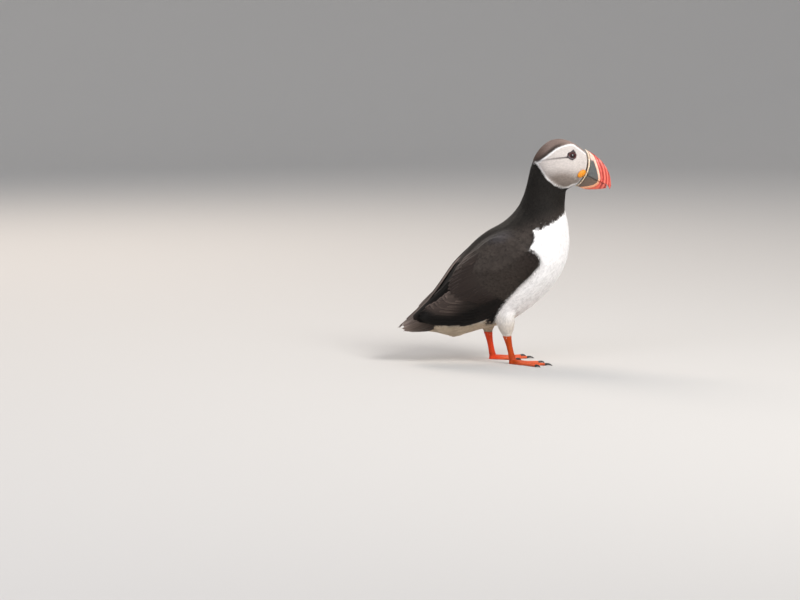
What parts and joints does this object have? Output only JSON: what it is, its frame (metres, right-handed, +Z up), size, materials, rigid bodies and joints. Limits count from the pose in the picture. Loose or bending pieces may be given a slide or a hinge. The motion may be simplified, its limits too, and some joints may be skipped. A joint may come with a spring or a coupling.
{
  "type": "atlantic puffin model",
  "caption": "Life-size still model of a standing puffin, alert and upright, with folded wings, a deep grooved bill and webbed feet flat on the floor.",
  "frame": {"origin": "on the floor, under the middle of the bird's bounding box", "axes": "+X forward, the way the bill points; +Y to the bird's left; +Z up"},
  "size_m": [0.2144, 0.0979, 0.228],
  "materials": {
    "black_feathers": "dense contour feathers, black-brown, soft sheen",
    "white_feathers": "dense contour feathers, white, matt",
    "face_feathers": "short velvety feathers, pale grey-white, matt",
    "bill_horn": "grooved horn, red outside and slate at the base, satin",
    "rim_horn": "raised cream rim, matt",
    "rosette_skin": "wrinkled yellow-orange bare skin, satin",
    "eye": "wet dark brown eye, gloss",
    "plate_horn": "small slate-grey horn plates, matt",
    "leg_skin": "scaly orange-red skin, satin",
    "claw_horn": "black horn, satin"
  },
  "bodies": {
    "root": {"bill_lower": "bill_horn", "bill_rim": "rim_horn", "bill_upper": "bill_horn", "brow_plate_left": "plate_horn", "brow_plate_right": "plate_horn", "claw_left_inner": "claw_horn", "claw_left_middle": "claw_horn", "claw_left_outer": "claw_horn", "claw_right_inner": "claw_horn", "claw_right_middle": "claw_horn", "claw_right_outer": "claw_horn", "eye_left": "eye", "eye_right": "eye", "foot_left": "leg_skin", "foot_right": "leg_skin", "gape_left": "rosette_skin", "gape_right": "rosette_skin", "head": "face_feathers", "lid_plate_left": "plate_horn", "lid_plate_right": "plate_horn", "neck": "black_feathers", "shank_left": "leg_skin", "shank_right": "leg_skin", "tail": "black_feathers", "thigh_left": "white_feathers", "thigh_right": "white_feathers", "trunk": "white_feathers", "wing_left": "black_feathers", "wing_right": "black_feathers"}
  },
  "joints": []
}
